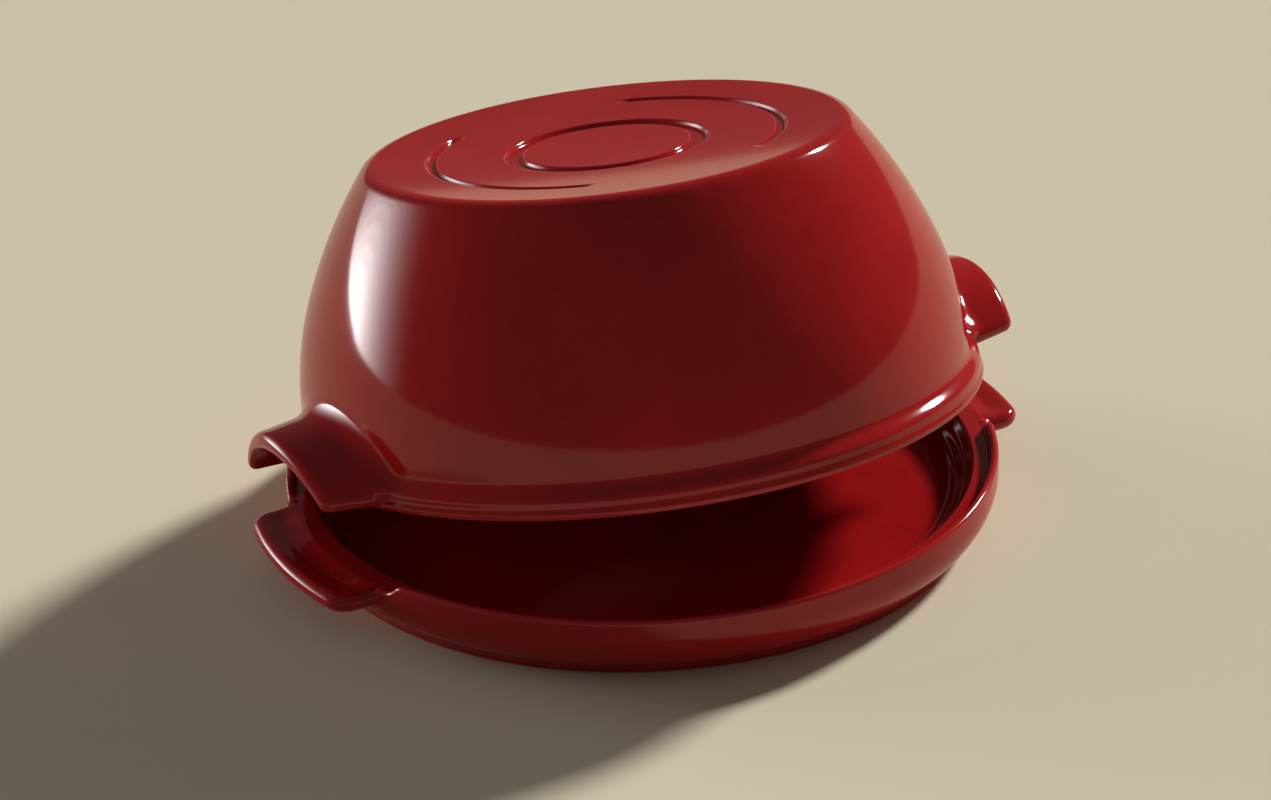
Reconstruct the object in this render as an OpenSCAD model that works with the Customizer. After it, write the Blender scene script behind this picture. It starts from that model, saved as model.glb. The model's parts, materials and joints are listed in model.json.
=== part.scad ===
// Bread cloche: a shallow round base with two ledge handles, and a deep lid with two arched ones.
// All sizes are in millimetres. The base stands on z = 0, centred on the Z axis. The handles
// lie along X, and the lid tips up about the back of its seat, which is towards +Y.

/* [Overall] */
// Outside diameter of the base over its rim
base_d = 285; // [238:1:342]
// Height of the base, from the table to the top of its rim
base_h = 27; // [22.5:0.5:33]
// Height of the lid, from its rim to its flat top
lid_h = 110; // [91:1:132]
// Angle at which the lid stands tipped open in its seat, in degrees
lid_tip = 10; // [0:1:80]

/* [Stoneware] */
// Thickness of the base's floor
floor_t = 7; // [5.5:0.5:9]
// Thickness of the lid's wall and top
lid_wall = 7; // [5.5:0.5:9]

/* [Foot] */
// How far the foot ring stands in from the rim
foot_inset = 9.5; // [8:0.5:14]
// Width of the foot ring
foot_w = 10; // [6:0.5:16]
// Depth of the recess inside the foot ring
foot_recess = 1.5; // [1:0.25:2.5]

/* [Seat] */
// Width of the raised rim around the seat
rim_w = 3.2; // [2.4:0.1:4.2]
// Depth of the seat below the top of the rim
seat_drop = 5; // [4:0.25:6]
// Width of the seat
seat_w = 7.3; // [5:0.1:10]
// Clearance between the lid's flange and the rim around it
rim_gap = 1.5; // [1:0.1:2.5]
// Gap left between the seat and the lid when it is shut
seat_gap = 0.3; // [0.2:0.05:0.6]

/* [Lid] */
// How far the flat top's edge stands in from the lid's flange
top_inset = 42.5; // [30:0.5:50]
// How far the flange stands out from the wall above it
flange_w = 5; // [3.5:0.25:7]
// Height at which the wall begins, above the lid's rim
flange_h = 14; // [11:0.5:17]
// Radius of the rounder, lower stretch of the wall's outline
belly_r = 122; // [100:1:150]
// Angle through which that stretch bends inwards, in degrees
belly_turn = 20.5; // [16:0.5:22]
// Radius of the edge between the wall and the top
top_round = 6.5; // [5:0.5:9]
// Depth of the hollow in the middle of the top
top_dish = 3.6; // [2:0.2:5]

/* [Rings on the top] */
// Radius of the outer ring, to the middle of its groove
ring_r = 69; // [60:0.5:76]
// Width of the outer ring's groove
ring_w = 3.5; // [2.5:0.25:5]
// Depth of the outer ring's groove
ring_depth = 1.2; // [0.8:0.1:1.6]
// Angle that each half of the outer ring covers to either side of a handle, in degrees
ring_half = 58; // [30:1:80]
// Outer radius of the inner ring's groove
disc_ring_r = 39.8; // [30:0.2:50]
// Width of the inner ring's groove
disc_ring_w = 6.5; // [4:0.5:9]
// Depth of the inner ring's groove
disc_ring_depth = 1.5; // [0.8:0.1:2]

/* [Base handles] */
// Width of each ledge
ledge_w = 85; // [70:1:100]
// How far each ledge reaches out from the rim
ledge_reach = 16; // [13:0.5:22]
// Thickness of a ledge at its rounded lip
ledge_t = 7; // [6:0.25:8.5]
// How far the lip's crest lies below the seat
lip_drop = 0.8; // [0.4:0.1:1.5]
// Depth to which the top of a ledge sags between the seat and the lip
scoop_sag = 1.8; // [0.8:0.1:2.5]
// Radius of a ledge's corners, seen from above
ledge_corner = 8; // [4:0.5:14]

/* [Lid handles] */
// Outside width of each arch at its legs
arch_w = 88; // [73:1:106]
// Height of the arch's crest above the lid's rim, at its tip
arch_rise = 25.7; // [22:0.1:34]
// Thickness of the arch
arch_t = 7; // [5.5:0.25:9]
// Slope at which the arch climbs towards the wall, in degrees
arch_slope = 6.5; // [0:0.5:10]
// Height of the bottom of the legs above the lid's rim
leg_lift = 0.8; // [0.5:0.1:2]
// How far an arch's tip stands in from the tip of the ledge under it
arch_inset = 1; // [0:0.25:4]
// Clearance between a leg and the end of the rim beside it
leg_gap = 1.3; // [0.8:0.1:3]
// Width of the slope at which the rim comes down beside a leg
rim_ramp = 4; // [2:0.5:8]

/* [Hidden] */

glaze = [0.5, 0.05, 0.07];
// How far a cut runs past the face that it opens
cut = 1;

// Base
rim_r = base_d/2;
rim_in = rim_r - rim_w;
seat_z = base_h - seat_drop;
seat_in = rim_in - seat_w;
seat_fillet = 1;
floor_z = foot_recess + floor_t;
foot_r = rim_r - foot_inset;
foot_edge = 1;
// The outside bulges in one arc, from above the foot to its widest line
foot_h = 4.5;
bulge_tuck = 7.5;
bulge_z = base_h - 7.5;
bulge_rise = bulge_z - foot_h;
bulge_r = (bulge_tuck^2 + bulge_rise^2)/(2*bulge_tuck);
// The rim's top is rounded more on its outside than on its inside
rim_round_out = rim_w*0.65;
rim_round_in = rim_w*0.25;
// Inside the seat the wall slopes in two bands, each with a narrow step under it, and then
// curves into the floor. The bands take this share of the wall's height.
bands = 2;
bands_share = 0.69;
band_w = 3.5;
band_h = (seat_z - seat_fillet - floor_z)*bands_share/bands;
band_step = 1;
band_step_h = 0.4;
cove_z = seat_z - seat_fillet - bands*band_h;
cove_w = 7.3;
cove_r = (cove_w^2 + (cove_z - floor_z)^2)/(2*(cove_z - floor_z));
cove_c = [seat_in - bands*band_w - cove_w, floor_z + cove_r];

// Lid, measured from its own rim
flange_r = rim_in - rim_gap;
flange_edge = 1;
flange_band = 4;
flange_round = 4.5;
// The flange's round shoulder and the hollow curve above it meet at one slope, and their
// radii add up to this
s_curve = (flange_w^2 + (flange_h - flange_band)^2)/(2*flange_w);
s_turn = acos((s_curve - flange_w)/s_curve);
wall_r = flange_r - flange_w;
belly_c = [wall_r - belly_r, flange_h];
belly_end = belly_c + belly_r*[cos(belly_turn), sin(belly_turn)];
// The flatter, upper stretch leaves the belly at its slope and runs to the top's sharp corner
top_corner = [flange_r - top_inset, lid_h];
to_corner = top_corner - belly_end;
upper_n = [cos(belly_turn), sin(belly_turn)];
upper_r = -(to_corner*to_corner)/(2*(to_corner*upper_n));
upper_c = belly_end - upper_r*upper_n;
top_flat_r = upper_c[0] + sqrt((upper_r - top_round)^2 - (lid_h - top_round - upper_c[1])^2);
round_turn = atan2(lid_h - top_round - upper_c[1], top_flat_r - upper_c[0]);
// The inside follows the outside at the wall's thickness, with a wide curve under the top
ceiling_z = lid_h - lid_wall;
inner_round = 14;
inner_r = upper_r - lid_wall;
ceiling_r = upper_c[0] + sqrt((inner_r - inner_round)^2 - (ceiling_z - inner_round - upper_c[1])^2);
inner_turn = atan2(ceiling_z - inner_round - upper_c[1], ceiling_r - upper_c[0]);
mouth_r = wall_r - lid_wall;

// Base handles
ledge_tip = rim_r + ledge_reach;
lip_r = ledge_t/2;
lip_z = seat_z - lip_drop - lip_r;
ledge_corner_x = sqrt((ledge_tip - ledge_corner)^2 - (ledge_w/2 - ledge_corner)^2);

// Lid handles
arch_tip = ledge_tip - arch_inset;
arch_r = ((arch_w/2)^2 + (arch_rise - leg_lift)^2)/(2*(arch_rise - leg_lift));
arch_axis_z = arch_rise - arch_r;
// The tube is made longer than the arch at both ends, to be cut by the tip's circle and to root
// in the wall
arch_spare = 10;
arch_root = 20;
arch_length = arch_spare + arch_tip - wall_r + arch_root;
leg_axis_z = arch_axis_z + (arch_tip - rim_in)*tan(arch_slope);
leg_y = sqrt(arch_r^2 - (leg_lift - leg_axis_z)^2);
rim_end = leg_y + leg_gap;
// The notch for the legs runs on past the top of the rim, by this share of its depth
notch_over = 1.2;

// The shut lid stands a little above the seat, and tips about the back of its flange
shut_z = seat_z + seat_gap;
tip_axis = [0, flange_r, base_h + 1];

// Points along an arc about c, from angle a0 to a1
function arc(c, r, a0, a1, n = 8) =
    [for (i = [0:n]) c + r*[cos(a0 + (a1 - a0)*i/n), sin(a0 + (a1 - a0)*i/n)]];

// Height of the lid's top at a distance r from its middle: the hollow is part of a sphere
dish_r = (top_flat_r^2 + top_dish^2)/(2*top_dish);
function top_z(r) = lid_h - top_dish + dish_r - sqrt(dish_r^2 - r^2);

// Points along a round sag between p and q, which are near one height
function sagging(p, q, sag, n = 8) =
    let (mid = (p + q)/2, half = (q - p)/2, l = norm(half), r = (l^2 + sag^2)/(2*sag))
    [for (i = [0:n]) let (t = 2*i/n - 1) mid + half*t - [0, sqrt(r^2 - (l*t)^2) - r + sag]];

module base_outline() {
    polygon(concat(
        [[0, foot_recess], [foot_r - foot_w - foot_recess, foot_recess], [foot_r - foot_w, 0]],
        arc([foot_r - foot_edge, foot_edge], foot_edge, -90, 0, 4),
        arc([rim_r - bulge_r, bulge_z], bulge_r, -asin(bulge_rise/bulge_r), 0, 12),
        arc([rim_r - rim_round_out, base_h - rim_round_out], rim_round_out, 0, 90, 6),
        arc([rim_in + rim_round_in, base_h - rim_round_in], rim_round_in, 90, 180, 4),
        arc([rim_in - seat_fillet, seat_z + seat_fillet], seat_fillet, 0, -90, 4),
        arc([seat_in + seat_fillet, seat_z - seat_fillet], seat_fillet, 90, 180, 4),
        [for (i = [1:bands]) for (k = [1, 0])
            [seat_in - band_w*i + band_step*k, seat_z - seat_fillet - band_h*i + band_step_h*k]],
        arc(cove_c, cove_r, -asin((cove_r - cove_z + floor_z)/cove_r), -90, 8),
        [[0, floor_z]]));
}

// A ledge seen from above: its tip runs round the base's own axis, and its ends lie along X
module ledge_plan() {
    turn = atan2(ledge_w/2 - ledge_corner, ledge_corner_x);
    far = 2*ledge_tip;
    translate([0, -ledge_w/2])
        square([ledge_corner_x, ledge_w]);
    intersection() {
        circle(r = ledge_tip, $fn = 180);
        polygon([[0, 0], far*[cos(turn), -sin(turn)], far*[cos(turn), sin(turn)]]);
    }
    for (s = [-1, 1])
        translate([ledge_corner_x, s*(ledge_w/2 - ledge_corner)])
            circle(r = ledge_corner, $fn = 48);
}

// A ledge cut through the middle: a shallow hollow behind a fully rounded lip
module ledge_section() {
    crest = [ledge_tip - lip_r, lip_z + lip_r];
    polygon(concat(
        [[seat_in + seat_fillet, lip_z - lip_r]],
        arc([ledge_tip - lip_r, lip_z], lip_r, -90, 90, 12),
        sagging(crest, [rim_in, seat_z], scoop_sag),
        [[seat_in + seat_fillet, seat_z]]));
}

module ledge() {
    intersection() {
        rotate_extrude($fn = 180)
            ledge_section();
        linear_extrude(height = base_h)
            ledge_plan();
        // The ends are rounded like the lip
        rotate([90, 0, 90])
            linear_extrude(height = ledge_tip)
                for (s = [-1, 1])
                    ledge_end(s);
    }
}

// Half of a ledge seen along X, from the middle to one rounded end
module ledge_end(s) {
    translate([s*(ledge_w/2 - lip_r), lip_z])
        circle(r = lip_r, $fn = 48);
    translate([s > 0 ? -0.01 : lip_r - ledge_w/2, lip_z - lip_r])
        square([ledge_w/2 - lip_r + 0.01, 3*lip_r]);
}

// The rim comes down to the seat between its two slopes beside each pair of legs
module rim_notch() {
    rotate([90, 0, 90])
        linear_extrude(height = ledge_tip)
            polygon([
                [-rim_end, seat_z], [rim_end, seat_z],
                [rim_end + notch_over*rim_ramp, seat_z + notch_over*seat_drop],
                [-rim_end - notch_over*rim_ramp, seat_z + notch_over*seat_drop]]);
}

module base() {
    color(glaze)
    union() {
        difference() {
            rotate_extrude($fn = 180)
                base_outline();
            for (side = [0, 180])
                rotate([0, 0, side])
                    rim_notch();
        }
        for (side = [0, 180])
            rotate([0, 0, side])
                ledge();
    }
}

// The outside of the lid, without its handles
module lid_outline() {
    polygon(concat(
        [[0, 0]],
        arc([flange_r - flange_edge, flange_edge], flange_edge, -90, 0, 4),
        arc([flange_r - flange_round, flange_band], flange_round, 0, s_turn, 6),
        arc([wall_r + s_curve - flange_round, flange_h], s_curve - flange_round, 180 + s_turn, 180, 6),
        arc(belly_c, belly_r, 0, belly_turn, 10),
        arc(upper_c, upper_r, belly_turn, round_turn, 10),
        arc([top_flat_r, lid_h - top_round], top_round, round_turn, 90, 8),
        [for (i = [7:-1:1]) let (r = disc_ring_r + (top_flat_r - disc_ring_r)*i/8) [r, top_z(r)]],
        [[disc_ring_r, top_z(disc_ring_r)],
            [disc_ring_r - disc_ring_depth, top_z(disc_ring_r) - disc_ring_depth],
            [disc_ring_r - disc_ring_w + disc_ring_depth, top_z(disc_ring_r) - disc_ring_depth],
            [disc_ring_r - disc_ring_w, top_z(disc_ring_r - disc_ring_w)]],
        [[0, top_z(0)]]));
}

// The hollow inside the lid
module lid_hollow() {
    polygon(concat(
        [[0, -cut], [mouth_r, -cut], [mouth_r, flange_h]],
        arc(belly_c, belly_r - lid_wall, 0, belly_turn, 10),
        arc(upper_c, inner_r, belly_turn, inner_turn, 10),
        arc([ceiling_r, ceiling_z - inner_round], inner_round, inner_turn, 90, 8),
        [for (i = [7:-1:0]) let (r = ceiling_r*i/8)
            [r, ceiling_z - top_dish*(1 - (i/8)^2)]]));
}

// An arched handle: a sloping half tube over the ledge, open underneath and at its tip
module arch() {
    intersection() {
        translate([arch_tip, 0, arch_axis_z])
            rotate([0, arch_slope - 90, 0])
                translate([0, 0, -arch_spare])
                    difference() {
                        cylinder(r = arch_r, h = arch_length, $fn = 180);
                        translate([0, 0, -cut])
                            cylinder(r = arch_r - arch_t, h = arch_length + 2*cut, $fn = 180);
                    }
        translate([0, 0, leg_lift])
            cylinder(r = arch_tip, h = lid_h, $fn = 180);
        translate([wall_r - arch_root, -arch_w, 0])
            cube([arch_tip, 2*arch_w, lid_h]);
    }
}

// Half of the outer ring: a round-bottomed groove with round ends
module ring_groove() {
    cut_r = ((ring_w/2)^2 + ring_depth^2)/(2*ring_depth);
    at = [ring_r, 0, top_z(ring_r) + cut_r - ring_depth];
    rotate([0, 0, -ring_half])
        rotate_extrude(angle = 2*ring_half, $fn = 180)
            translate([at[0], at[2]])
                circle(r = cut_r, $fn = 32);
    for (end = [-ring_half, ring_half])
        rotate([0, 0, end])
            translate(at)
                sphere(r = cut_r, $fn = 32);
}

module lid() {
    color(glaze)
    translate(tip_axis)
    rotate([-lid_tip, 0, 0])
    translate([0, 0, shut_z] - tip_axis)
    difference() {
        union() {
            rotate_extrude($fn = 180)
                lid_outline();
            for (side = [0, 180])
                rotate([0, 0, side])
                    arch();
        }
        rotate_extrude($fn = 180)
            lid_hollow();
        for (side = [0, 180])
            rotate([0, 0, side])
                ring_groove();
    }
}

base();
lid();
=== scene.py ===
import json
import math

import bpy
import numpy as np
from mathutils import Matrix, Vector


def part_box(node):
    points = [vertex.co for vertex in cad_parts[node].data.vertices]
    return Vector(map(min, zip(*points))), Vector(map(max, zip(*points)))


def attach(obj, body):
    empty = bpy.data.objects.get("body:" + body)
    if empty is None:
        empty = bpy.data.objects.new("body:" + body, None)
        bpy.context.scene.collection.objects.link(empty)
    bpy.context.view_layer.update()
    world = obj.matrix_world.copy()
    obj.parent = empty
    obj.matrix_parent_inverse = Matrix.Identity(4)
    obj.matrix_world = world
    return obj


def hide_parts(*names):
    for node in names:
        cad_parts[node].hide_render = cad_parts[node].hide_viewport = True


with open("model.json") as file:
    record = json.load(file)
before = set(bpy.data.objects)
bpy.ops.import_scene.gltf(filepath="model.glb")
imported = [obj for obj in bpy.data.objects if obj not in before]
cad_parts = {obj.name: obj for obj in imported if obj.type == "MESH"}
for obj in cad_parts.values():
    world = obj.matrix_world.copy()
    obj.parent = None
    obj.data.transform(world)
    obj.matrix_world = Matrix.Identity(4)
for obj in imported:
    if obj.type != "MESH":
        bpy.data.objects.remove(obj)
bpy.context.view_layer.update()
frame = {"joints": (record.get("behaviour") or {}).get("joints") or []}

# Shapes are worked out in millimetres and become metres when a mesh is made
MM = 0.001
base_corner = np.array(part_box("base")[1])/MM

# Base: overall sizes come from the frame
LEDGE_TIP, RIM_R, BASE_H = base_corner
FOOT_OUT = RIM_R - 9.5
FOOT_IN = FOOT_OUT - 10
FOOT_RECESS = 1.5
FOOT_ROUND = 0.8
BULGE_R = 18.75
BULGE_Z = BASE_H - 7.5
BULGE_FOOT_Z = 4.5
RIM_ROUND = 1.6
RIM_IN = RIM_R - 2*RIM_ROUND
SEAT_Z = BASE_H - 5
SEAT_FILLET = 1
SEAT_IN = RIM_IN - 7.3
SEAT_LIP = 1
FLOOR_Z = 8.5
BAND_W = 3.5
BAND_H = 4.3
BAND_STEP = 0.9
COVE_W = 7.3

# Ledge handles
LEDGE_HALF_W = 42.5
LEDGE_CORNER = 8
LIP_R = 3.5
LIP_DROP = 0.8
LIP_Z = SEAT_Z - LIP_DROP - LIP_R
LEDGE_UNDER_Z = LIP_Z - LIP_R
LEDGE_ROOT_X = 138.6
LEDGE_END_X = 136.2
LEDGE_END_TURN = math.radians(20.5)
SCOOP_DROP = 0.9
SCOOP_RUN = 9
NOTCH_Y = 45.8
NOTCH_TOP_Y = 54.5
NOTCH_R = RIM_R - 1.5
NOTCH_ROUND = 1.4
LEDGE_FILLET = 3.5

# Height at which the side of the base changes from the underside's outline to the rim's
SIDE_Z = LEDGE_UNDER_Z - 4.2

# Lid, measured from its own rim
LID_H = 110
FLANGE_R = 137.8
WALL_R = 132.8
FLANGE_H = 14
FLANGE_STEP = 4.2
SHOULDER_LOW_Z = 6.5
SHOULDER_HIGH_Z = 12.5
BEAD = 0.8
BEAD_Z = 2
BEAD_REACH = 1.3
LID_WALL = 7
BELLY_R = 122
BELLY_TURN = math.radians(20.5)
TOP_CORNER_R = 95.3
TOP_ROUND = 6.5
TOP_DISH = 3.6
INNER_ROUND = 14
EDGE_ROUND = 1

# Rings on the lid's top
RING_R = 69
RING_W = 3.5
RING_DEPTH = 1.6
RING_EDGE = 0.65
RING_HALF = math.radians(58)
DISC_RING_R = 36.5
DISC_RING_W = 6.5
DISC_RING_DEPTH = 1.8

# Arched handles
ARCH_TIP = LEDGE_TIP - 1
ARCH_HALF_T = 3.5
ARCH_MID_R = 47.83
ARCH_AXIS_Z = -25.63
ARCH_SLOPE = math.tan(math.radians(6.5))
ARCH_SHARE = 0.78
LEG_LIFT = 1.2
LEG_RISE = 1.4
ARCH_FILLET_OVER = 7.5
ARCH_FILLET_UNDER = 3.5

# The lid's hinge and how far it stands open, from the frame
joint = frame["joints"][0]
HINGE = np.array(joint["pos_m"])/MM
TIP = math.radians(-joint["range_deg"][0])
SEAT_GAP = 0.3
HINGE_ABOVE_LID_RIM = HINGE[2] - SEAT_Z - SEAT_GAP


def smooth(a, b, x):
    """Eases from 0 at a to 1 at b: 3 t^2 - 2 t^3, where t is the share of the way."""
    t = np.clip((x - a)/(b - a), 0, 1)
    return t*t*(3 - 2*t)


def mix(a, b, share):
    """The point or number a share of the way from a to b."""
    return a + (b - a)*share


def arc(centre, radius, start, end, count):
    """count + 1 points on a circle: centre + radius*(cos, sin) of angles spread from start to end."""
    angle = np.linspace(start, end, count + 1)
    return np.stack([centre[0] + radius*np.cos(angle), centre[1] + radius*np.sin(angle)], -1)


def lengths(line):
    """Distance along a line of points, from its first point."""
    steps = np.hypot(*np.diff(line, axis=0).T)
    return np.concatenate([[0], np.cumsum(steps)])


def growing(start, end, first, last, growth):
    """Places from start to end whose steps grow from first to last, each by the factor growth."""
    steps = np.minimum(first*growth**np.arange(2000), last)
    places = np.cumsum(steps)
    count = np.searchsorted(places, end - start) + 1
    return start + places[:count]*(end - start)/places[count - 1]


def outline_distance(r, z, outline):
    """Distance from points (r, z) to a closed outline, below 0 inside it.

    It is the least distance to any side, and a point is inside where a level ray from it crosses the
    sides an odd number of times.
    """
    best = np.full(r.shape, np.inf)
    inside = np.zeros(r.shape, bool)
    for (r0, z0), (r1, z1) in zip(outline, np.roll(outline, -1, axis=0)):
        dr, dz = r1 - r0, z1 - z0
        share = np.clip(((r - r0)*dr + (z - z0)*dz)/(dr*dr + dz*dz), 0, 1)
        best = np.minimum(best, (r - r0 - share*dr)**2 + (z - z0 - share*dz)**2)
        if dz:
            inside ^= ((z0 > z) != (z1 > z)) & (r < r0 + dr*(z - z0)/dz)
    return np.where(inside, -1, 1)*np.sqrt(best)


def rounded_union(a, b, radius):
    """Joins two solids given by their distances, with a fillet of that radius in the corner.

    Where both distances are below the radius, it is radius - hypot(radius - a, radius - b).
    """
    corner = np.hypot(np.maximum(radius - a, 0), np.maximum(radius - b, 0))
    return np.maximum(radius, np.minimum(a, b)) - corner


def around(r, z, azimuth):
    """Points at radius r and height z on the azimuths: (r cos, r sin, z)."""
    r, z, azimuth = np.broadcast_arrays(r, z, azimuth)
    return np.stack([r*np.cos(azimuth), r*np.sin(azimuth), z], -1)


def skin(blocks):
    """Points and four-cornered faces of grids of points, with the points that share a place joined."""
    points, faces, first = [], [], 0
    for block in blocks:
        ids = first + np.arange(block.shape[0]*block.shape[1]).reshape(block.shape[:2])
        corners = [ids[:-1, :-1], ids[:-1, 1:], ids[1:, 1:], ids[1:, :-1]]
        faces.append(np.stack(corners, -1).reshape(-1, 4))
        points.append(block.reshape(-1, 3))
        first += block.shape[0]*block.shape[1]
    return welded(np.concatenate(points), np.concatenate(faces))


def welded(points, faces):
    """Makes one point of those that are the same to a micrometre."""
    key = np.round(points/MM).astype(np.int64)
    _, kept, same = np.unique(key, axis=0, return_index=True, return_inverse=True)
    return points[kept], same.reshape(-1)[faces]


def quartered(points, faces):
    """A whole skin from one quarter: four copies across x = 0 and y = 0, joined where they meet."""
    copies = [(points*[sx, sy, 1], faces if sx == sy else faces[:, ::-1])
              for sx in (1, -1) for sy in (1, -1)]
    all_points = np.concatenate([p for p, _ in copies])
    all_faces = np.concatenate([f + k*len(points) for k, (_, f) in enumerate(copies)])
    return welded(all_points, all_faces)


def edges_of(faces):
    """Each edge of the faces once, as two rows of point numbers."""
    pairs = np.concatenate([faces[:, [k, (k + 1) % 4]] for k in range(4)])
    pairs = np.unique(np.sort(pairs, axis=1), axis=0)
    return pairs[pairs[:, 0] != pairs[:, 1]].T


def neighbour_mean(values, edges, count):
    """At each point, the mean of the values at the points that its edges lead to."""
    a, b = edges
    degree = np.bincount(np.concatenate([a, b]), minlength=count)
    total = [np.bincount(np.concatenate([a, b]), np.concatenate([v[b], v[a]]), count)
             for v in values.T]
    return np.stack(total, -1)/np.maximum(degree, 1)[:, None]


def settled(points, faces, ease, field, rounds):
    """Eases the points where ease is above 0 and drops them onto the surface field = 0.

    Each round moves a point towards the mean of its neighbours by half of its ease, and then down the
    field's slope by the field's value over the slope's square. The last three rounds only drop them.
    The points on y = 0 stay there.
    """
    probe = 0.02
    longest_step = 2.0
    least_slope = 0.3
    edges = edges_of(faces)
    on_middle = points[:, 1] < MM
    chosen = np.flatnonzero(ease > 0)
    share = 0.5*ease[chosen, None]
    for count in range(rounds):
        if count < rounds - 3:
            mean = neighbour_mean(points, edges, len(points))
            points[chosen] = mix(points[chosen], mean[chosen], share)
        here = points[chosen]
        value = field(here)
        slope = np.stack([(field(here + probe*axis) - value)/probe for axis in np.eye(3)], -1)
        step = -(value/np.maximum((slope**2).sum(-1), least_slope))[:, None]*slope
        length = np.maximum(np.linalg.norm(step, axis=-1, keepdims=True), 1e-9)
        points[chosen] = here + step*np.minimum(1, longest_step/length)
        points[on_middle, 1] = 0
    return points


def bend(points, faces):
    """How sharply the skin bends outwards at each point, in 1/mm, evened out over a few rows.

    Along an edge it is the change of the normal over the edge, times the edge, over its length squared.
    """
    a, b, c, d = (points[faces[:, k]] for k in range(4))
    face_normal = np.cross(c - a, d - b)
    normal = np.stack([np.bincount(faces.ravel(), np.repeat(n, 4), len(points))
                       for n in face_normal.T], -1)
    normal /= np.maximum(np.linalg.norm(normal, axis=-1, keepdims=True), 1e-12)
    edges = edges_of(faces)
    along = points[edges[1]] - points[edges[0]]
    turn = ((normal[edges[1]] - normal[edges[0]])*along).sum(-1)/np.maximum((along**2).sum(-1), 1e-4)
    turn = np.clip(turn, -1, 1)
    ends = edges.ravel()
    mean = np.bincount(ends, np.tile(turn, 2), len(points))/np.bincount(ends, minlength=len(points))
    mean = mean[:, None]
    for _ in range(3):
        mean = mix(mean, neighbour_mean(mean, edges, len(points)), 0.5)
    return mean[:, 0]


# Base

def bulge(z):
    """Radius of the base's outside at height z: part of a circle up to its widest line, then straight."""
    below = np.maximum(BULGE_Z - z, 0)
    return RIM_R - BULGE_R + np.sqrt(BULGE_R**2 - below**2)


def rim_rows(height):
    """The plain side of the base, from half way up the bulge to the seat, for each rim height.

    The wall goes up the bulge, over the rim in two quarter circles, down its inside, and round a
    quarter circle onto the seat.
    """
    rise = np.maximum(height - SEAT_Z, 0.2)
    start_z = np.full_like(height, SIDE_Z)
    wall_z = mix(start_z, height - RIM_ROUND, np.linspace(0, 1, 27)[:, None])
    quarter = math.pi/2
    over = np.linspace(0, quarter, 9)[1:, None]
    inner = np.minimum(RIM_ROUND, rise/2)
    inner_turn = quarter + np.linspace(0, quarter, 8)[1:, None]
    fillet = np.minimum(SEAT_FILLET, rise/2)
    foot = np.linspace(0, quarter, 7)[1:, None]
    down = np.linspace(0, 1, 8)[1:, None]
    rows = [
        (bulge(wall_z), wall_z),
        (RIM_R - RIM_ROUND + RIM_ROUND*np.cos(over), height - RIM_ROUND + RIM_ROUND*np.sin(over)),
        (RIM_IN + inner + inner*np.cos(inner_turn), height - inner + inner*np.sin(inner_turn)),
        (RIM_IN, mix(height - inner, SEAT_Z + fillet, down)),
        (RIM_IN - fillet + fillet*np.cos(foot), SEAT_Z + fillet - fillet*np.sin(foot)),
    ]
    rows = [np.broadcast_arrays(r, z, height)[:2] for r, z in rows]
    return np.concatenate([r for r, _ in rows]), np.concatenate([z for _, z in rows])


def base_underside():
    """Outline from the middle of the underside, over the foot ring, to half way up the bulge."""
    side_z = np.linspace(BULGE_FOOT_Z, SIDE_Z, 9)[:-1]
    return np.concatenate([
        np.stack([np.linspace(0, FOOT_IN - 3, 6), np.full(6, FOOT_RECESS)], -1),
        [[FOOT_IN - 2, FOOT_RECESS], [FOOT_IN - 1, 1.1], [FOOT_IN - 0.2, 0.25], [FOOT_IN + 0.6, 0]],
        [[FOOT_IN + 5, 0]],
        arc([FOOT_OUT - FOOT_ROUND, FOOT_ROUND], FOOT_ROUND, -math.pi/2, 0, 5),
        [[FOOT_OUT + 0.15, 1.6], [FOOT_OUT + 0.6, 2.8]],
        np.stack([bulge(side_z), side_z], -1)])


def base_inside():
    """Outline from the seat, down two sloping bands with a step under each, and along the floor."""
    top = SEAT_Z - SEAT_LIP
    rows = [[[SEAT_IN + 5.5, SEAT_Z], [SEAT_IN + 3.5, SEAT_Z]],
            arc([SEAT_IN + SEAT_LIP, top], SEAT_LIP, math.pi/2, math.pi, 5)]
    for band in range(2):
        r, z = SEAT_IN - band*BAND_W, top - band*BAND_H
        low_r, low_z = r - BAND_W + BAND_STEP, z - BAND_H + 0.5
        slope = np.linspace(0, 1, 7)[1:-1, None]
        rows += [mix(np.array([r, z]), np.array([low_r, low_z]), slope),
                 [[low_r - 0.15, low_z - 0.2], [low_r - 0.45, low_z - 0.34], [r - BAND_W + 0.1, z - BAND_H]]]
    start = np.array([SEAT_IN - 2*BAND_W, top - 2*BAND_H])
    drop = start[1] - FLOOR_Z
    cove_r = (COVE_W**2 + drop**2)/(2*drop)
    centre = [start[0] - COVE_W, FLOOR_Z + cove_r]
    rows += [arc(centre, cove_r, -math.asin((cove_r - drop)/cove_r), -math.pi/2, 9)[1:],
             np.stack([np.linspace(centre[0] - 4, 0, 8), np.full(8, FLOOR_Z)], -1)]
    return np.concatenate(rows)


def ledge_inset(x, y):
    """Distance outwards from the line along a ledge's crest, which has round corners."""
    corner = LEDGE_CORNER - LIP_R
    a = np.hypot(x, y) - (LEDGE_TIP - LIP_R) + corner
    b = np.abs(y) - (LEDGE_HALF_W - LIP_R) + corner
    return np.hypot(np.maximum(a, 0), np.maximum(b, 0)) + np.minimum(np.maximum(a, b), 0) - corner


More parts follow.
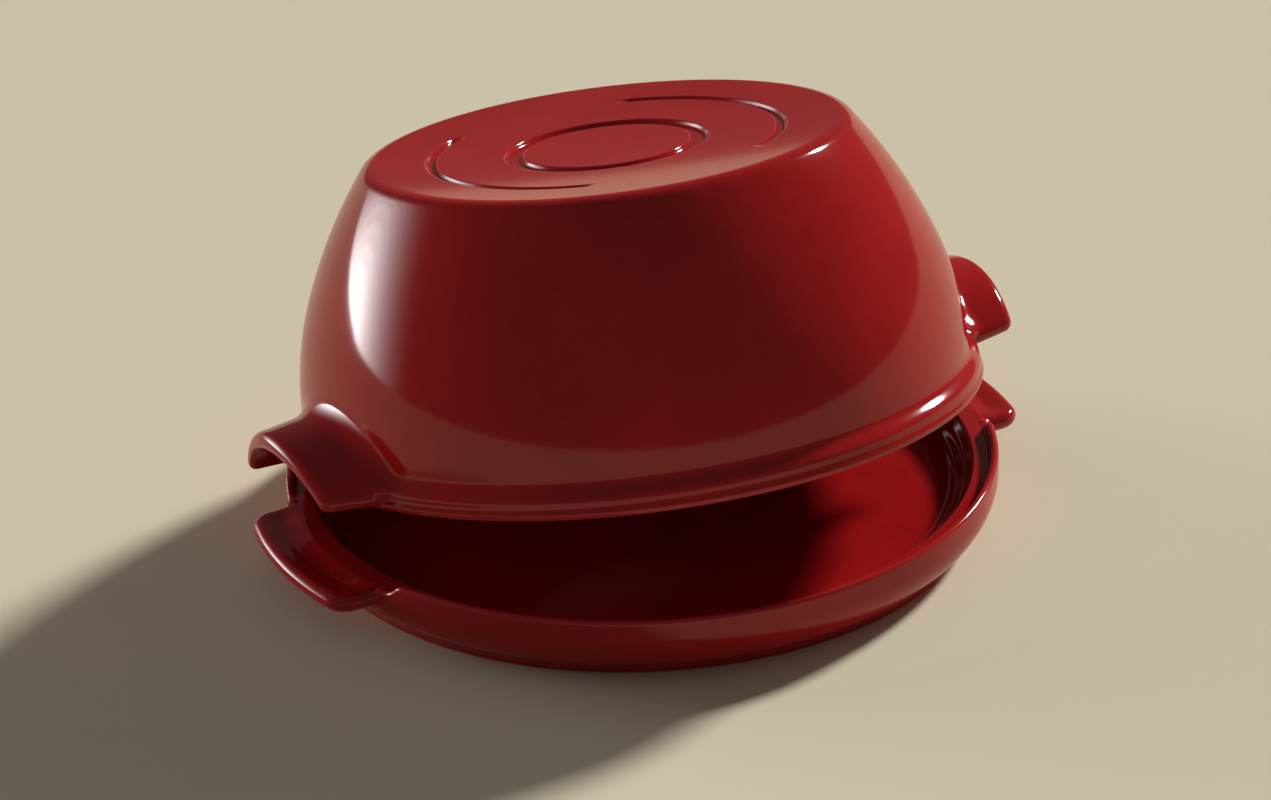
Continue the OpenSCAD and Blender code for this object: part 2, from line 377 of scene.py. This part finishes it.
def ledge_top(x, y):
    """Height of a ledge's top: the seat's at its root, less in the hollow, and a little more at the lip.

    Going out from the root it eases down by LIP_DROP, and by SCOOP_DROP more away from the lip and ends.
    """
    out = smooth(RIM_IN - 1, RIM_IN + SCOOP_RUN, np.hypot(x, y))
    hollow = (smooth(0, SCOOP_RUN, LEDGE_TIP - LIP_R - np.hypot(x, y))
              * smooth(0, SCOOP_RUN, LEDGE_HALF_W - LIP_R - np.abs(y)))
    return SEAT_Z - out*(LIP_DROP + SCOOP_DROP*hollow)


def base_columns():
    """Azimuth, ledge outline point, its outward direction and the ledge's share, for each column.

    The outline runs along the tip's circle, round the corner, along the end and into the rim, where
    the share falls from 1 to 0, and the rest of the quarter is plain rim.
    """
    corner = np.array([math.sqrt((LEDGE_TIP - LEDGE_CORNER)**2 - (LEDGE_HALF_W - LEDGE_CORNER)**2),
                       LEDGE_HALF_W - LEDGE_CORNER])
    turn = math.atan2(corner[1], corner[0])
    tip_angle = np.linspace(0, turn, 33)
    tip = LEDGE_TIP*np.stack([np.cos(tip_angle), np.sin(tip_angle)], -1)
    corner_angle = np.linspace(turn, math.pi/2, 15)[1:]
    bend_points = corner + LEDGE_CORNER*np.stack([np.cos(corner_angle), np.sin(corner_angle)], -1)
    end_x = np.linspace(corner[0], LEDGE_ROOT_X, 9)[1:]
    root_x = np.linspace(LEDGE_ROOT_X, LEDGE_END_X, 15)[1:]
    end = np.stack([np.concatenate([end_x, root_x]), np.full(22, LEDGE_HALF_W)], -1)
    place = np.concatenate([tip, bend_points, end])
    facing = np.concatenate([tip/LEDGE_TIP, (bend_points - corner)/LEDGE_CORNER, 0*end + [0, 1]])
    azimuth = np.arctan2(place[:, 1], place[:, 0])
    root_start = math.atan2(LEDGE_HALF_W, LEDGE_ROOT_X)
    azimuth[-14:] = np.linspace(root_start, LEDGE_END_TURN, 15)[1:]
    share = np.ones(len(place))
    share[-14:] = 1 - smooth(0, 1, np.linspace(0, 1, 15)[1:])
    rest = growing(LEDGE_END_TURN, math.pi/2, math.radians(0.3), math.radians(1.5), 1.1)
    filler = np.repeat(place[-1:], len(rest), 0)
    return (np.concatenate([azimuth, rest]), np.concatenate([place, filler]),
            np.concatenate([facing, 0*filler + [0, 1]]), np.concatenate([share, 0*rest]))


def ledge_rows(azimuth, place, facing):
    """The side of the base at a ledge: up the wall, out below, round the lip and back to the seat."""
    wall_z = np.linspace(SIDE_Z, LEDGE_UNDER_Z, 5)[:, None]
    wall = around(bulge(wall_z), wall_z, azimuth)
    root = wall[-1, :, :2]
    crest = place - LIP_R*facing
    out = np.linspace(0, 1, 13)[1:, None, None]
    under = mix(root, crest, out)
    under = np.concatenate([under, np.full(under.shape[:2] + (1,), LEDGE_UNDER_Z)], -1)
    turn = np.linspace(-math.pi/2, math.pi/2, 17)[1:, None, None]
    nose = np.concatenate([crest + LIP_R*np.cos(turn)*facing,
                           LIP_Z + LIP_R*np.sin(turn) + 0*crest[None, :, :1]], -1)
    seat = around(RIM_IN - SEAT_FILLET, SEAT_Z, azimuth)[..., :2]
    back = np.linspace(0, 1, 23)[1:, None, None]
    top = mix(crest, seat, back)
    top = np.concatenate([top, ledge_top(top[..., 0], top[..., 1])[..., None]], -1)
    return np.concatenate([wall, under, nose, top])


def base_field(outline):
    """Distance to the base near a ledge: the bowl, cut down to the notch, joined to the ledge.

    The cut is the least of the height over the notch's ramp and the distance in from the rim's inside,
    and the ledge is a plate about the middle of its height, rounded by LIP_R.
    """
    def field(p):
        x, y, z = p[:, 0], np.abs(p[:, 1]), p[:, 2]
        r = np.hypot(x, y)
        top = ledge_top(x, y)
        ramp = smooth(NOTCH_Y, NOTCH_TOP_Y, y)
        steep = 6*(BASE_H - SEAT_Z)/(NOTCH_TOP_Y - NOTCH_Y)*np.sqrt(ramp*(1 - ramp))*0.5
        over = (z - top - 1.05*(BASE_H - SEAT_Z)*ramp)/np.hypot(1, steep)
        cut = np.minimum(over, r - (RIM_IN - 1.2))
        bowl = -rounded_union(-outline_distance(r, z, outline), -cut, NOTCH_ROUND)
        inset = np.maximum(ledge_inset(x, y), 0)
        middle = (top + LEDGE_UNDER_Z)/2
        half = (top - LEDGE_UNDER_Z)/2
        off = np.maximum(np.abs(z - middle) - half + LIP_R, 0)
        plate = np.maximum(np.hypot(inset, off) - LIP_R, RIM_IN - r)
        low = 1 - smooth(18, 20.5, z)
        fillet = mix(0.3, LEDGE_FILLET, np.maximum(low, smooth(40, 43, y)))
        return rounded_union(bowl, plate, fillet)
    return field


def base_skin():
    """The whole base: one quarter as a grid of outline rows by columns, eased at the ledge's root."""
    azimuth, place, facing, share = base_columns()
    height = mix(SEAT_Z, BASE_H, smooth(NOTCH_Y, NOTCH_TOP_Y, NOTCH_R*np.sin(azimuth)))
    underside = base_underside()
    inside = base_inside()
    plain = around(*rim_rows(height), azimuth)
    ledge = ledge_rows(azimuth, place, facing)
    side = mix(plain, ledge, share[:, None])
    rows = [around(*underside.T[:, :, None], azimuth), side, around(*inside.T[:, :, None], azimuth)]
    points, faces = skin([np.concatenate(rows)])
    full = np.stack(rim_rows(np.array([BASE_H])), -1)[:, 0]
    outline = np.concatenate([underside, full, inside])

    # Points near a ledge settle, and those at its ends and in the corner under it are eased as well
    r = np.hypot(points[:, 0], points[:, 1])
    near = (r > RIM_IN - 0.5) & (points[:, 2] > LEDGE_UNDER_Z - 4) & (points[:, 0] > 120)
    near &= np.abs(points[:, 1]) < NOTCH_TOP_Y + 4
    root = 1 - smooth(3, 9, np.hypot(np.maximum(np.abs(points[:, 1]) - 45, 0), (r - RIM_R)))
    under = (1 - smooth(2, 7, r - RIM_R))*(points[:, 2] < 17)
    ease = np.where(near, np.maximum(np.maximum(root, under), 0.02), 0)
    points = settled(points, faces, ease, base_field(outline), 10)
    return quartered(points, faces)


# Lid

# The lid's wall: a belly's circle up to UPPER_START, then a wider one that would reach the top's corner
UPPER_NORMAL = np.array([math.cos(BELLY_TURN), math.sin(BELLY_TURN)])
UPPER_START = np.array([WALL_R - BELLY_R, FLANGE_H]) + BELLY_R*UPPER_NORMAL
TO_CORNER = np.array([TOP_CORNER_R, LID_H]) - UPPER_START
UPPER_R = -(TO_CORNER @ TO_CORNER)/(2*(TO_CORNER @ UPPER_NORMAL))
UPPER_C = UPPER_START - UPPER_R*UPPER_NORMAL

# Points of the outside's outline over the level top and round its edge
TOP_ROWS = 60
CORNER_ROWS = 24


def edge_circle(radius, top, wall_r):
    """Middle and turn of the circle that rounds the corner between a level top and the upper wall."""
    z = top - radius
    r = UPPER_C[0] + math.sqrt((wall_r - radius)**2 - (z - UPPER_C[1])**2)
    return np.array([r, z]), math.atan2(z - UPPER_C[1], r - UPPER_C[0])


def flange(z):
    """Radius of the lid's outside below its wall: the wall's, eased out over a shoulder, and a bead.

    The bead at the rim is BEAD times e to the power of minus (height from its middle/BEAD_REACH)^2.
    """
    shoulder = 1 - smooth(SHOULDER_LOW_Z, SHOULDER_HIGH_Z, z)
    return WALL_R + FLANGE_STEP*shoulder + BEAD*np.exp(-((z - BEAD_Z)/BEAD_REACH)**2)


def lid_outside():
    """Fine outline of the lid's outside, from the middle of its top to the flat of its rim."""
    centre, turn = edge_circle(TOP_ROUND, LID_H, UPPER_R)
    top_r = np.linspace(0, centre[0], TOP_ROWS)
    dish_r = (centre[0]**2 + TOP_DISH**2)/(2*TOP_DISH)
    top_z = LID_H - TOP_DISH + dish_r - np.sqrt(dish_r**2 - top_r**2)
    flange_z = np.arange(FLANGE_H, EDGE_ROUND, -0.25)
    rim = [flange(EDGE_ROUND) - EDGE_ROUND, EDGE_ROUND]
    return np.concatenate([
        np.stack([top_r, top_z], -1),
        arc(centre, TOP_ROUND, math.pi/2, turn, CORNER_ROWS)[1:],
        arc(UPPER_C, UPPER_R, turn, BELLY_TURN, 40)[1:],
        arc([WALL_R - BELLY_R, FLANGE_H], BELLY_R, BELLY_TURN, 0, 40)[1:-1],
        np.stack([flange(flange_z), flange_z], -1),
        arc(rim, EDGE_ROUND, 0, -math.pi/2, 8)])


def lid_inside():
    """Outline of the lid's underside and inside, from its rim to the middle of its ceiling."""
    mouth = WALL_R - LID_WALL
    centre, turn = edge_circle(INNER_ROUND, LID_H - LID_WALL, UPPER_R - LID_WALL)
    level_r = np.linspace(centre[0] - 8, 0, 7)
    return np.concatenate([
        [[FLANGE_R - 4, 0], [mouth + 3.5, 0]],
        arc([mouth + EDGE_ROUND, EDGE_ROUND], EDGE_ROUND, -math.pi/2, -math.pi, 5),
        [[mouth, 5], [mouth, 9.5]],
        arc([WALL_R - BELLY_R, FLANGE_H], BELLY_R - LID_WALL, 0, BELLY_TURN, 9),
        arc(UPPER_C, UPPER_R - LID_WALL, BELLY_TURN, turn, 9)[1:],
        arc(centre, INNER_ROUND, turn, math.pi/2, 7)[1:],
        np.stack([level_r, LID_H - LID_WALL - TOP_DISH*(1 - (level_r/centre[0])**2)], -1)])


def ring_relief(r, azimuth):
    """Depth of the grooves on the lid's top: a ring round the disc, and an outer ring in two halves.

    Each groove has a level bottom and sides that ease up over RING_EDGE to either side of its edges.
    The outer one runs out at its ends.
    """
    def groove(middle, width, depth):
        inner, outer = middle - width/2, middle + width/2
        down = smooth(inner - RING_EDGE, inner + RING_EDGE, r)
        return depth*down*(1 - smooth(outer - RING_EDGE, outer + RING_EDGE, r))
    from_handle = np.minimum(azimuth, math.pi - azimuth)
    kept = 1 - smooth(RING_HALF - math.radians(5), RING_HALF + math.radians(1.5), from_handle)
    return groove(DISC_RING_R, DISC_RING_W, DISC_RING_DEPTH) + kept*groove(RING_R, RING_W, RING_DEPTH)


def arch_end(x):
    """Height of an arch's axis, and the turn from its crest to where the middle of its wall ends."""
    axis_z = ARCH_AXIS_Z + (ARCH_TIP - x)*ARCH_SLOPE
    foot_z = LEG_LIFT + LEG_RISE*np.clip((x - 133)/18, 0, 1)
    return axis_z, np.arccos((foot_z + ARCH_HALF_T - axis_z)/ARCH_MID_R)


def arch_point(t, x, across):
    """A point of an arch's skin, by the share t from crest to leg, the place x and the turn across it.

    The wall's middle is a circle about the sloping axis. Up to ARCH_SHARE of the way the skin lies half
    a thickness to either side of it, and beyond that it goes round the leg's end. At the tip it goes
    from the outer side to the inner on a circle about the middle, as across goes from -90 to 90 degrees.
    """
    axis_z, end = arch_end(x)
    turn = end*np.minimum(t/ARCH_SHARE, 1)
    past = np.clip((t - ARCH_SHARE)/(1 - ARCH_SHARE), 0, 1)
    seam = math.pi/2 - end
    outer = past*seam
    inner = math.pi - past*(math.pi - seam)
    middle_turn, half = (outer + inner)/2, (inner - outer)/2
    zero = np.zeros_like(turn + x)
    middle = np.stack([x + zero, ARCH_MID_R*np.sin(turn), axis_z + ARCH_MID_R*np.cos(turn)], -1)

    def square(angle):
        """Direction square to the arch's length, at an angle from outwards."""
        total = turn + angle
        return np.stack([zero, np.sin(total), np.cos(total)], -1)
    away = middle*[1, 1, 0]
    away /= np.linalg.norm(away, axis=-1, keepdims=True)
    cos_half, sin_half = np.cos(half)[..., None], np.sin(half)[..., None]
    side = -np.sin(across)*square(middle_turn - math.pi/2) + np.cos(across)*away
    return middle + ARCH_HALF_T*(cos_half*square(middle_turn) + sin_half*side)


def arch_distance(x, y, z):
    """Distance to an arch, which is a sheet rounded by half its thickness, and to the sheet's circle."""
    axis_z, end = arch_end(x)
    out = np.hypot(y, z - axis_z) - ARCH_MID_R
    past = np.maximum(ARCH_MID_R*(np.arctan2(y, z - axis_z) - end), 0)
    beyond = np.maximum(np.hypot(x, y) - (ARCH_TIP - ARCH_HALF_T), 0)
    return np.sqrt(out**2 + past**2 + beyond**2) - ARCH_HALF_T, out


def lid_field(outline):
    """Distance to the lid near an arch: the shell joined to it, with fillets that shrink by the rim."""
    def field(p):
        x, y, z = p[:, 0], np.abs(p[:, 1]), p[:, 2]
        shell = outline_distance(np.hypot(x, y), z, outline)
        arch, out = arch_distance(x, y, z)
        fillet = mix(ARCH_FILLET_UNDER, ARCH_FILLET_OVER, smooth(-3, 3, out))
        return rounded_union(shell, arch, fillet*mix(0.12, 1, smooth(2.5, 9, z)))
    return field


def meeting(t, across, outline):
    """Where an arch's skin meets the shell, found by halving the range of x thirty times."""
    low, high = np.full(t.shape, 105.0), np.full(t.shape, 150.0)
    for _ in range(30):
        x = (low + high)/2
        p = arch_point(t, x, across)
        outside = outline_distance(np.hypot(p[:, 0], p[:, 1]), p[:, 2], outline) > 0
        low, high = np.where(outside, low, x), np.where(outside, x, high)
    return high


def lid_skin():
    """The whole lid: one quarter in grids, over the top and wall, round an arch, and below it."""
    outside, inside = lid_outside(), lid_inside()
    run = lengths(outside)
    low_side = outside[outside[:, 1] < 62]
    lower = np.concatenate([low_side, inside[inside[:, 1] < 62]])
    filled = np.concatenate([low_side, [[0, 0], [0, low_side[0, 1]]]])
    arch_t = np.linspace(0, 1, 53)
    over_x = meeting(arch_t, -math.pi/2, filled)
    under_x = meeting(arch_t, math.pi/2, filled)
    over = arch_point(arch_t, over_x, -math.pi/2)
    under = arch_point(arch_t, under_x, math.pi/2)
    over[-1] = under[-1]
    seam = math.atan2(over[-1, 1], over[-1, 0])
    rest = growing(seam, math.pi/2, math.radians(0.35), math.radians(1.5), 1.12)
    even = np.concatenate([np.linspace(0, seam, len(arch_t)), rest])
    over_azimuth = np.concatenate([np.arctan2(over[:, 1], over[:, 0]), rest])
    under_azimuth = np.concatenate([np.arctan2(under[:, 1], under[:, 0]), rest])
    split_z = mix(over[-1, 2], 9, smooth(0, math.radians(6), rest - seam))

    def run_at(z):
        """Distance along the outside's outline at a height below the top."""
        return np.interp(-z, -outside[TOP_ROWS:, 1], run[TOP_ROWS:])
    top_r = np.concatenate([
        np.linspace(0, 28, 9), np.linspace(31, 42, 33), np.linspace(44, 65, 10),
        np.linspace(66.2, 71.8, 22), np.linspace(73.5, 90, 9)])
    corner_end = run[TOP_ROWS + CORNER_ROWS - 1]
    fixed = np.concatenate([
        np.interp(top_r, outside[:TOP_ROWS, 0], run[:TOP_ROWS]),
        np.linspace(run[TOP_ROWS - 1], corner_end, 11),
        np.linspace(corner_end, run_at(60), 18)[1:]])
    split = np.concatenate([run_at(over[:, 2]), run_at(split_z)])
    down = np.linspace(0, 1, 29)[1:, None]
    along = np.concatenate([np.repeat(fixed[:, None], len(split), 1),
                            mix(fixed[-1], split, 1 - (1 - down)**1.5)])
    azimuth = np.concatenate([np.repeat(even[None], len(fixed), 0),
                              mix(even, over_azimuth, smooth(0, 1, down))])
    r, z = np.interp(along, run, outside[:, 0]), np.interp(along, run, outside[:, 1])
    z = z - ring_relief(r, azimuth)*(z > LID_H - 5)
    wall = around(r, z, azimuth)
    wall[-1, :len(arch_t)] = over

    tip_x = np.full(arch_t.shape, ARCH_TIP)
    for _ in range(8):
        middle_y = ARCH_MID_R*np.sin(arch_end(tip_x)[1]*np.minimum(arch_t/ARCH_SHARE, 1))
        tip_x = np.sqrt((ARCH_TIP - ARCH_HALF_T)**2 - middle_y**2)
    out = np.linspace(0, 1, 17)[:, None]
    turns = np.linspace(-math.pi/2, math.pi/2, 13)[1:-1]
    arch = np.concatenate([
        arch_point(arch_t, mix(over_x, tip_x, out), -math.pi/2),
        [arch_point(arch_t, tip_x, turn) for turn in turns],
        arch_point(arch_t, mix(tip_x, under_x, out), math.pi/2)])
    arch[0], arch[-1] = over, under
    arch[-17:, -1] = arch[16::-1, -1]

    start = np.concatenate([run_at(under[:, 2]), run_at(split_z)])
    down = np.linspace(0, 1, 19)[:, None]
    along = mix(start, run[-1], 1 - (1 - down)**1.4)
    below = around(np.interp(along, run, outside[:, 0]), np.interp(along, run, outside[:, 1]),
                   mix(under_azimuth, even, smooth(0, 1, down)))
    below[0, :len(arch_t)] = under
    below[0, len(arch_t):] = wall[-1, len(arch_t):]
    under_side = around(*inside.T[:, :, None], even)
    points, faces = skin([wall, arch, np.concatenate([below, under_side])])
    faces = faces[:, ::-1]

    # Points near an arch settle, and those in its fillets are eased as well
    x, y, z = points.T
    shell = outline_distance(np.hypot(x, y), z, lower)
    to_arch, _ = arch_distance(x, y, z)
    outer = (np.hypot(x, y) > WALL_R - LID_WALL/2 - 0.35*z) & (x > 90) & (z < 58)
    ease = (1 - smooth(6, 12, np.maximum(np.abs(shell), to_arch)))*smooth(1, 5, z)
    near = outer & (to_arch < 13) & (z > 0.9)
    ease = np.where(near, np.maximum(ease, 0.02), 0)
    points = settled(points, faces, ease, lid_field(lower), 12)
    return quartered(points, faces)


def tipped(points):
    """The lid from its own place to where it rests: turned by TIP about the hinge line, along X."""
    y = points[:, 1] - HINGE[1]
    z = points[:, 2] - HINGE_ABOVE_LID_RIM
    turned_y = y*math.cos(TIP) + z*math.sin(TIP)
    turned_z = z*math.cos(TIP) - y*math.sin(TIP)
    return np.stack([points[:, 0], HINGE[1] + turned_y, HINGE[2] + turned_z], -1)


# Materials

class Value:
    """A number that a shader works out at each point. Arithmetic on it adds Math nodes."""

    def __init__(self, finish, socket):
        self.finish, self.socket = finish, socket

    def math(self, operation, first, second):
        return self.finish.node("ShaderNodeMath", {"operation": operation}, {0: first, 1: second})

    def __add__(self, other):
        return self.math("ADD", self, other)

    def __radd__(self, other):
        return self.math("ADD", other, self)

    def __rsub__(self, other):
        return self.math("SUBTRACT", other, self)

    def __rmul__(self, other):
        return self.math("MULTIPLY", other, self)


class Finish:
    """A material whose nodes are added one by one."""

    def __init__(self, name):
        self.material = bpy.data.materials.new(name)
        self.material.use_nodes = True
        self.tree = self.material.node_tree
        self.tree.nodes.clear()

    def node(self, kind, settings=None, values=None, out=0):
        """Adds a node of a kind, with its settings first, then its sockets' values or links."""
        node = self.tree.nodes.new(kind)
        for name, setting in (settings or {}).items():
            setattr(node, name, setting)
        for name, value in (values or {}).items():
            if isinstance(value, Value):
                self.tree.links.new(value.socket, node.inputs[name])
            else:
                node.inputs[name].default_value = value
        return Value(self, node.outputs[out]) if node.outputs else None

    def ramp(self, low, high, value):
        """0 where value is below low, 1 above high, eased between."""
        return self.node("ShaderNodeMapRange", {"interpolation_type": "SMOOTHSTEP"},
                         {"Value": value, "From Min": low, "From Max": high})

    def blend(self, share, first, second):
        """The first colour where share is 0 and the second where it is 1."""
        return self.node("ShaderNodeMix", {"data_type": "RGBA"}, {0: share, 6: first, 7: second}, 2)

    def noise(self, place, size, detail):
        """Even noise from 0 to 1, whose blots are about size metres across."""
        return self.node("ShaderNodeTexNoise", None,
                         {"Vector": place, "Scale": 1/size, "Detail": detail, "Roughness": 0.5})


# Colours of the glaze, from its body to where it is thick, thin or speckled, and of the clay. The thick
# colour is partly pooled glaze and partly painted shade in hollows, and the thin one is partly thin glaze
# and partly a painted highlight on edges
DEEP_RED = (0.355, 0.0075, 0.0085, 1)
MID_RED = (0.405, 0.0095, 0.0105, 1)
LIGHT_RED = (0.435, 0.0115, 0.0120, 1)
# Partly pooled glaze, partly painted shade in hollows
POOLED_GLAZE_AND_SHADE_RED = (0.170, 0.0035, 0.0050, 1)
# Partly thin glaze, partly a painted highlight on edges
THIN_GLAZE_AND_HIGHLIGHT_RED = (0.500, 0.0260, 0.0270, 1)
GRAIN_RED = (0.200, 0.0060, 0.0070, 1)
DARK_CLAY = (0.36, 0.25, 0.16, 1)
PALE_CLAY = (0.50, 0.38, 0.26, 1)
PALE_FLOOR = (0.76, 0.69, 0.505, 1)

# How much of its shine the glaze has
GLOSS = 0.75


def red_glaze():
    """Deep red glaze over pale stoneware: darker in hollows, partly where it pools and partly as painted
    shade, and brighter on edges, partly where it is thin and partly as a painted highlight.
    """
    f = Finish("red_glaze")
    place = f.node("ShaderNodeTexCoord", None, None, "Object")
    bent = f.node("ShaderNodeAttribute", {"attribute_name": "bend"}, None, "Fac")
    # Where the skin bends outwards the red is brighter, partly thin glaze and partly a painted highlight; in
    # hollows it is darker, partly pooled glaze and partly painted shade
    thin_glaze_and_highlight = f.ramp(0.04, 0.55, bent)
    pooled_glaze_and_shade = f.ramp(0.04, 0.5, 0 - bent)
    cloud = f.noise(place, 0.045, 3.0)
    mottle = f.noise(place, 0.006, 2.0)
    grain = f.noise(place, 0.0009, 1.0)
    body = f.blend(f.ramp(0.3, 0.7, cloud), DEEP_RED, MID_RED)
    body = f.blend(0.35*f.ramp(0.45, 0.75, mottle), body, LIGHT_RED)
    # Painted shade in hollows and painted highlight on edges, each partly the glaze's own pooling and
    # thinning
    body = f.blend(0.6*pooled_glaze_and_shade, body, POOLED_GLAZE_AND_SHADE_RED)
    body = f.blend(0.75*thin_glaze_and_highlight, body, THIN_GLAZE_AND_HIGHLIGHT_RED)
    body = f.blend(0.5*f.ramp(0.70, 0.76, grain), body, GRAIN_RED)
    height = f.node("ShaderNodeSeparateXYZ", None, {0: place}, "Z")
    bare = 1 - f.ramp(0.0003, 0.0006, height)
    clay = f.blend(f.noise(place, 0.0015, 3.0), DARK_CLAY, PALE_CLAY)
    colour = f.blend(bare, body, clay)
    rough = 0.24 + 0.08*cloud + 0.55*bare
    peel = f.noise(place, 0.004, 1.0) + 0.35*f.noise(place, 0.0012, 1.0)
    surface = f.node("ShaderNodeBump", None, {"Strength": 0.10, "Distance": 0.0008, "Height": peel})
    shader = f.node("ShaderNodeBsdfPrincipled", None, {
        "Base Color": colour, "Roughness": rough, "Coat Weight": GLOSS*(1 - bare), "Normal": surface,
        "Coat Roughness": 0.09, "Coat IOR": 1.5, "Specular IOR Level": 0.0})
    f.node("ShaderNodeOutputMaterial", None, {"Surface": shader})
    return f.material


def plain_floor():
    """A matt, pale, warm floor."""
    f = Finish("pale_floor")
    shader = f.node("ShaderNodeBsdfPrincipled", None, {
        "Base Color": PALE_FLOOR, "Roughness": 0.9, "Specular IOR Level": 0})
    f.node("ShaderNodeOutputMaterial", None, {"Surface": shader})
    return f.material


# Pieces

def piece(name, points, faces, body, finish):
    """Puts a skin in millimetres into a smooth mesh that rides on a body and stands for its node.

    A face with two corners in one point becomes a triangle, and one with fewer corners left is dropped.
    """
    double = faces == np.roll(faces, 1, axis=1)
    corners = 4 - double.sum(1)
    three = corners == 3
    triangles = faces[three][~double[three]].reshape(-1, 3)
    quads = faces[corners == 4]
    mesh = bpy.data.meshes.new(name)
    mesh.from_pydata((points*MM).tolist(), [], quads.tolist() + triangles.tolist())
    mesh.polygons.foreach_set("use_smooth", np.ones(len(mesh.polygons), bool))
    bent = mesh.attributes.new("bend", "FLOAT", "POINT")
    bent.data.foreach_set("value", bend(points, faces).astype(np.float32))
    mesh.materials.append(finish)
    mesh.update()
    made = bpy.data.objects.new(name, mesh)
    bpy.context.scene.collection.objects.link(made)
    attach(made, body)
    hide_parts(body)


glaze = red_glaze()
base_points, base_faces = base_skin()
piece("glazed_base", base_points, base_faces, "base", glaze)
lid_points, lid_faces = lid_skin()
piece("glazed_lid", tipped(lid_points), lid_faces, "lid", glaze)


# Floor, light and camera

def floor(half_size):
    """A level square of floor under the base."""
    mesh = bpy.data.meshes.new("floor")
    corners = [(-1, -1), (1, -1), (1, 1), (-1, 1)]
    mesh.from_pydata([(half_size*x, half_size*y, 0) for x, y in corners], [], [(0, 1, 2, 3)])
    mesh.materials.append(plain_floor())
    made = bpy.data.objects.new("floor", mesh)
    bpy.context.scene.collection.objects.link(made)


def from_centre(azimuth, elevation, distance):
    """A place at a distance from the cloche's middle, by azimuth from +X and elevation in degrees."""
    turn, lift = math.radians(azimuth), math.radians(elevation)
    level = distance*math.cos(lift)
    return Vector((level*math.cos(turn), level*math.sin(turn), distance*math.sin(lift)))


def lamp(name, azimuth, elevation, spread, brightness):
    """A far neutral lamp, a round patch of sky so many degrees wide that lights everything evenly.

    It lights with its brightness times its solid angle, pi sin^2 of half its width.
    """
    light = bpy.data.lights.new(name, "SUN")
    light.angle = math.radians(spread)
    light.energy = brightness*math.pi*math.sin(light.angle/2)**2
    made = bpy.data.objects.new(name, light)
    made.location = from_centre(azimuth, elevation, 4)
    made.rotation_euler = (-made.location).to_track_quat("-Z", "Y").to_euler()
    bpy.context.scene.collection.objects.link(made)


def window(azimuth, elevation, spread, brightness, layers):
    """A wide far lamp that fades from its middle outwards: round lamps one inside another.

    Each is narrower than the last and brighter, by the square of its place in the row.
    """
    places = np.arange(layers) + 1
    shares = places**2/(places**2).sum()
    widths = spread*np.linspace(1, 0.2, layers)
    for layer, (width, share) in enumerate(zip(widths, shares)):
        lamp(f"window_{layer}", azimuth, elevation, float(width), float(brightness*share))


# The camera stands where the photograph was taken from. Pitch, yaw and roll turn it from the base's
# middle, and the focal length is in widths of the frame.
VIEW_AZIMUTH = -116.98
VIEW_ELEVATION = 27.464
VIEW_DISTANCE = 1.5882
VIEW_PITCH = math.radians(1.5876)
VIEW_YAW = math.radians(-0.0617)
VIEW_ROLL = math.radians(-2.3534)
VIEW_FOCAL = 3933.1/1271


def camera():
    """The photograph's camera."""
    data = bpy.data.cameras.new("camera")
    data.sensor_width = 36
    data.lens = 36*VIEW_FOCAL
    data.clip_start = 0.05
    made = bpy.data.objects.new("camera", data)
    place = from_centre(VIEW_AZIMUTH, VIEW_ELEVATION, VIEW_DISTANCE)
    facing = (-place).to_track_quat("-Z", "Y").to_matrix()
    turned = (facing @ Matrix.Rotation(-VIEW_YAW, 3, "Y") @ Matrix.Rotation(VIEW_PITCH, 3, "X")
              @ Matrix.Rotation(VIEW_ROLL, 3, "Z"))
    made.matrix_world = Matrix.Translation(place) @ turned.to_4x4()
    bpy.context.scene.collection.objects.link(made)
    bpy.context.scene.camera = made


def even_light(strength):
    """A neutral world of even brightness."""
    world = bpy.data.worlds.new("studio")
    world.use_nodes = True
    background = world.node_tree.nodes["Background"]
    background.inputs["Color"].default_value = (1, 1, 1, 1)
    background.inputs["Strength"].default_value = strength
    bpy.context.scene.world = world


floor(half_size=20)
window(azimuth=125, elevation=-4, spread=74, brightness=20, layers=12)
lamp("key", azimuth=18, elevation=28, spread=8, brightness=265)
even_light(strength=0.10)
camera()
bpy.context.scene.view_settings.view_transform = "Standard"
